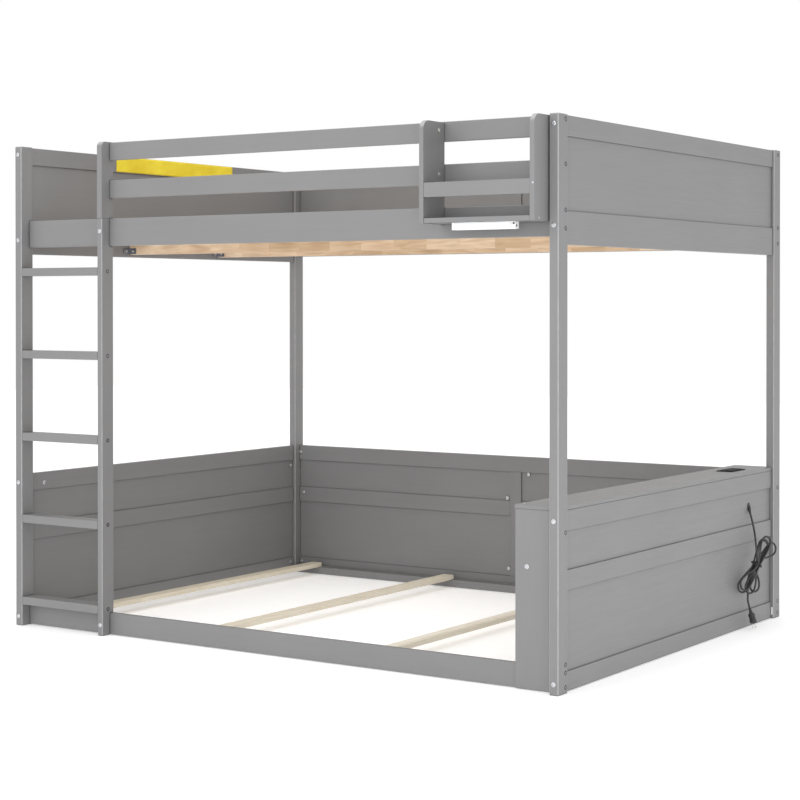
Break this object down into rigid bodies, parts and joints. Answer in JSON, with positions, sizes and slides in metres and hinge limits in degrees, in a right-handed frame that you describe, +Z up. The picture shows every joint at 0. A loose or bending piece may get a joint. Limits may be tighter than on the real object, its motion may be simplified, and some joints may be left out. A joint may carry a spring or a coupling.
{
  "type": "bunk bed with ladder",
  "caption": "Bunk bed with a built-in ladder, panelled ends, guard rails with a small lighted tray, and a storage headboard with a socket unit and its power cord.",
  "frame": {"origin": "middle of the footprint on the floor, tray included, power cord left out", "axes": "+X along the front towards the storage headboard, +Y towards the back wall, +Z up"},
  "size_m": [2.3047, 1.725, 1.705],
  "materials": {
    "grey_paint": "satin grey paint over solid wood and board",
    "raw_pine": "unfinished pine",
    "pale_pine": "unfinished pale pine or poplar",
    "white_plastic": "satin moulded plastic",
    "black_plastic": "fine moulded texture",
    "black_cord": "soft vinyl jacket"
  },
  "bodies": {
    "bed": {"back_lower_bottom_rail": "grey_paint", "back_lower_mid_rail_left": "grey_paint", "back_lower_mid_rail_right": "grey_paint", "back_lower_panel": "grey_paint", "back_lower_stile": "grey_paint", "back_lower_top_rail": "grey_paint", "back_upper_bottom_rail": "grey_paint", "back_upper_panel": "grey_paint", "back_upper_stile": "grey_paint", "back_upper_top_rail": "grey_paint", "centre_beam_back": "raw_pine", "centre_beam_front": "raw_pine", "charging_station": "black_plastic", "cord_drop": "black_cord", "cord_hank": "black_cord", "cord_relief": "black_cord", "cord_tail": "black_cord", "floor_slat_1": "pale_pine", "floor_slat_2": "pale_pine", "floor_slat_3": "pale_pine", "front_foot_rail": "grey_paint", "guard_end_stile": "grey_paint", "guard_rail_mid": "grey_paint", "guard_rail_top": "grey_paint", "headboard_end": "grey_paint", "headboard_shelf": "grey_paint", "headboard_top": "grey_paint", "ladder_stile": "grey_paint", "ladder_tread_1": "grey_paint", "ladder_tread_2": "grey_paint", "ladder_tread_3": "grey_paint", "ladder_tread_4": "grey_paint", "ladder_tread_5": "grey_paint", "left_lower_bottom_rail": "grey_paint", "left_lower_mid_rail": "grey_paint", "left_lower_panel": "grey_paint", "left_lower_top_rail": "grey_paint", "left_upper_bottom_rail": "grey_paint", "left_upper_panel": "grey_paint", "left_upper_top_rail": "grey_paint", "light_bar": "white_plastic", "post_back_left": "grey_paint", "post_back_right": "grey_paint", "post_front_left": "grey_paint", "post_front_right": "grey_paint", "power_plug": "black_plastic", "right_lower_bottom_rail": "grey_paint", "right_lower_mid_rail": "grey_paint", "right_lower_panel": "grey_paint", "right_lower_top_rail": "grey_paint", "right_upper_bottom_rail": "grey_paint", "right_upper_panel": "grey_paint", "right_upper_top_rail": "grey_paint", "side_rail_front": "grey_paint", "slat_deck": "raw_pine", "tray_bracket_left": "grey_paint", "tray_bracket_right": "grey_paint", "tray_front_bar": "grey_paint", "tray_shelf": "grey_paint"},
    "button": {"light_button": "white_plastic"}
  },
  "joints": [
    {"name": "light_switch", "type": "slide", "parent": "bed", "child": "button", "axis": [0, 1, 0], "range_m": [0, 0.0015], "stiffness_N_per_m": 400}
  ]
}
